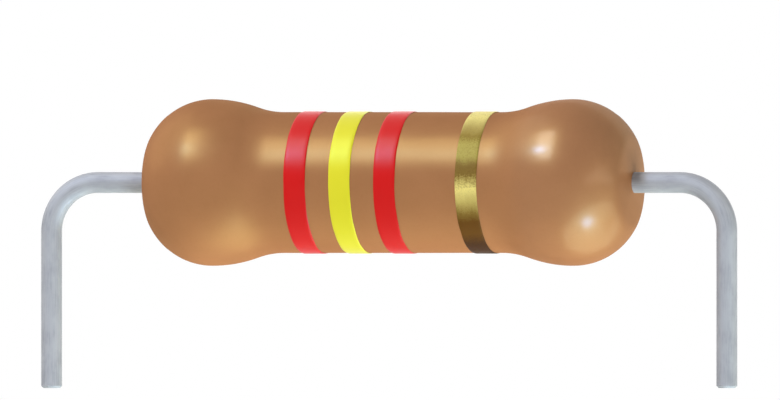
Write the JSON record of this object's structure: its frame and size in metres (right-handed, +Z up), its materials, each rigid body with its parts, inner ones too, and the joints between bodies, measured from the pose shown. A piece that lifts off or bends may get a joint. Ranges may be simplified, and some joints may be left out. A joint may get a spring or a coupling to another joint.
{
  "type": "axial resistor",
  "caption": "Axial film resistor: dog-bone lacquered body with value and tolerance colour bands, and wire leads bent down for through-hole mounting on a board.",
  "frame": {"origin": "midway between the two legs, at the top face of the board, which the underside of the body touches", "axes": "+X along the body towards the tolerance band, +Z up out of the board, legs down along -Z"},
  "size_m": [0.021, 0.0048, 0.0083],
  "materials": {
    "ceramic": "matte, off-white",
    "carbon": "dark grey carbon film, satin",
    "cap_steel": "tinned pressed steel",
    "tinned_wire": "tinned copper wire, satin",
    "lacquer": "tan lacquer, gloss",
    "red_paint": "red paint, semi-gloss",
    "yellow_paint": "yellow paint, semi-gloss",
    "gold_paint": "gold metallic paint"
  },
  "bodies": {
    "root": {"ceramic_rod": "ceramic", "carbon_film": "carbon", "left_cap": "cap_steel", "right_cap": "cap_steel", "left_lead": "tinned_wire", "right_lead": "tinned_wire", "lacquer_coat": "lacquer", "first_digit_band": "red_paint", "second_digit_band": "yellow_paint", "multiplier_band": "red_paint", "tolerance_band": "gold_paint"}
  },
  "joints": []
}
